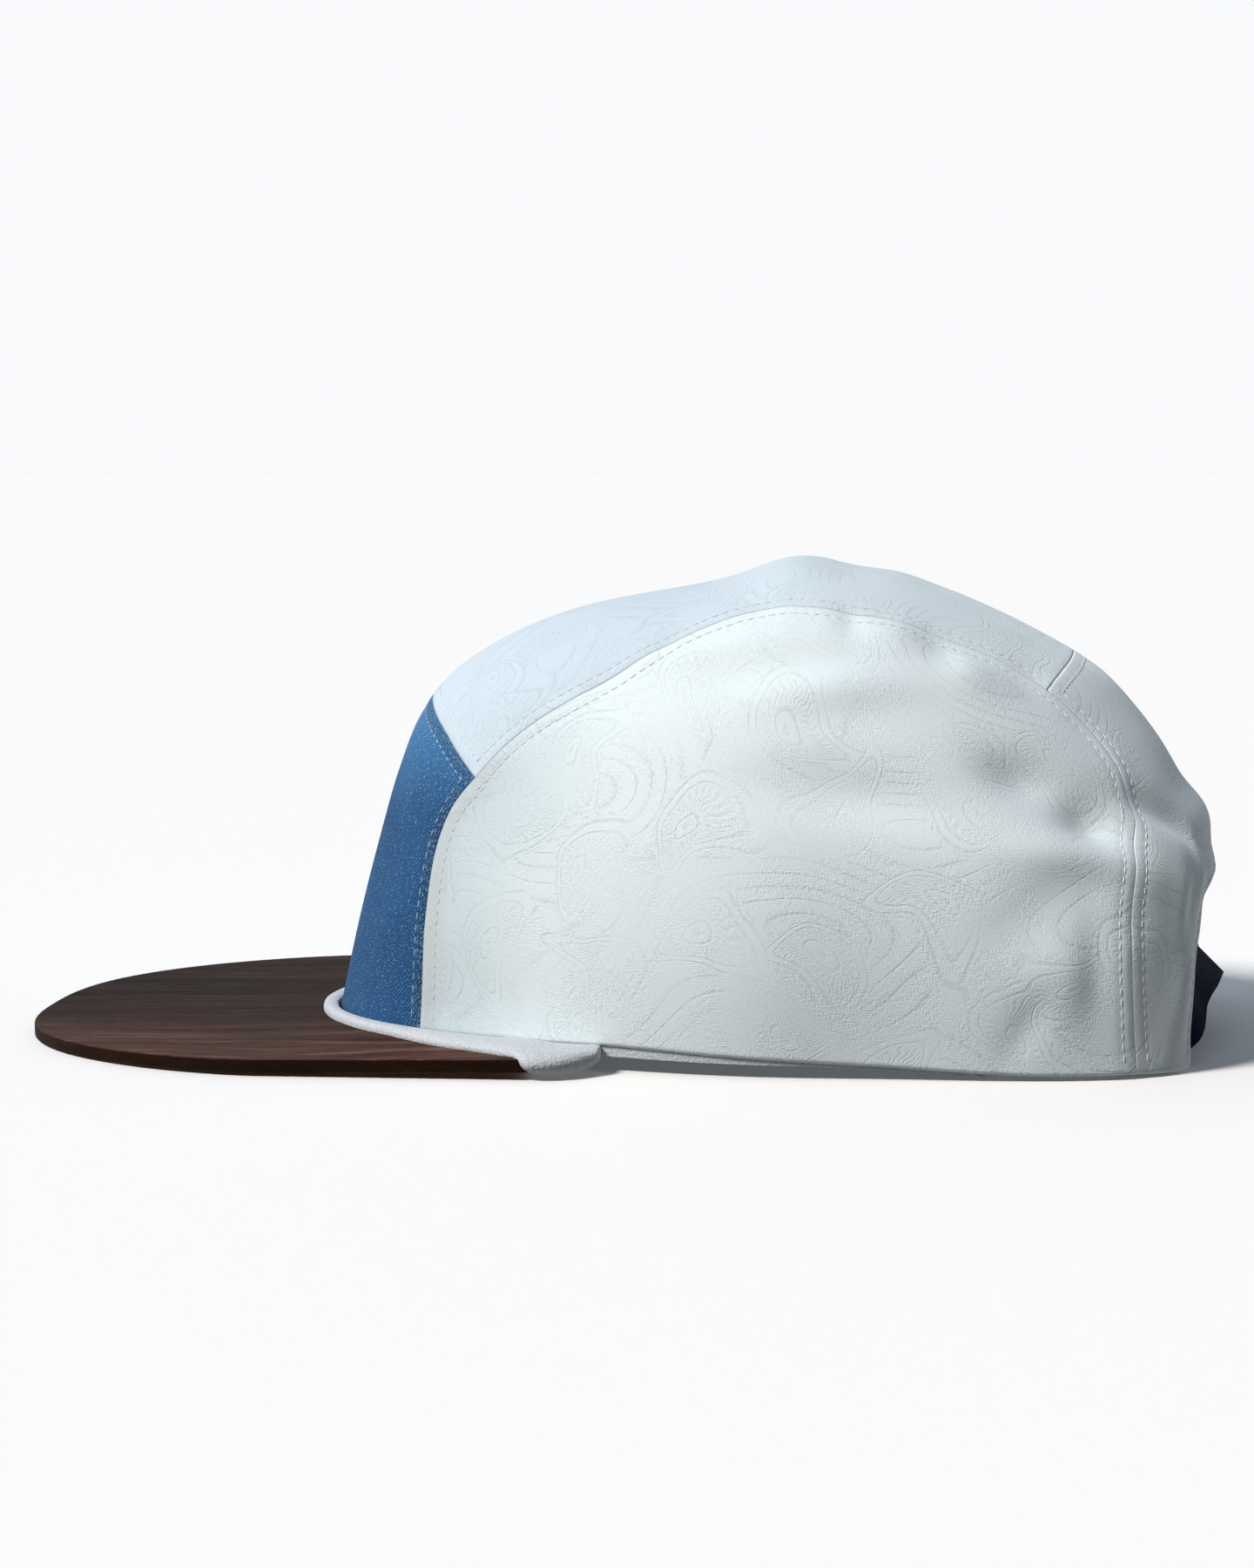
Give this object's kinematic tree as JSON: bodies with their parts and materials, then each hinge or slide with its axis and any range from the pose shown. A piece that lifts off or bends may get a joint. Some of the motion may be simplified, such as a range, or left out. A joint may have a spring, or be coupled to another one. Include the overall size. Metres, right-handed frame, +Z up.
{
  "type": "snapback cap",
  "caption": "Low five-panel cap with a flat wooden brim, a soft folded cloth crown, a cloth roll round the brim's rear edge and a plastic snap strap across the back opening.",
  "frame": {"origin": "on the surface that the cap rests on, under the middle of its outline", "axes": "-Y towards the tip of the brim, +X towards the wearer's left side, +Z up"},
  "size_m": [0.1758, 0.2747, 0.1097],
  "materials": {
    "walnut": "dark, oiled, satin",
    "denim": "blue twill, matt",
    "white_jacquard": "white on white woven pattern, matt with a slight sheen",
    "binding_cloth": "white ribbed cloth, matt",
    "navy_plastic": "moulded, satin"
  },
  "bodies": {
    "root": {"brim": "walnut", "brim_binding": "binding_cloth", "front_panel": "denim", "side_panel_left": "white_jacquard", "side_panel_right": "white_jacquard", "top_panel": "white_jacquard", "back_panel": "white_jacquard", "sweatband": "binding_cloth", "snap_strap_left": "navy_plastic", "snap_strap_right": "navy_plastic"}
  },
  "joints": []
}
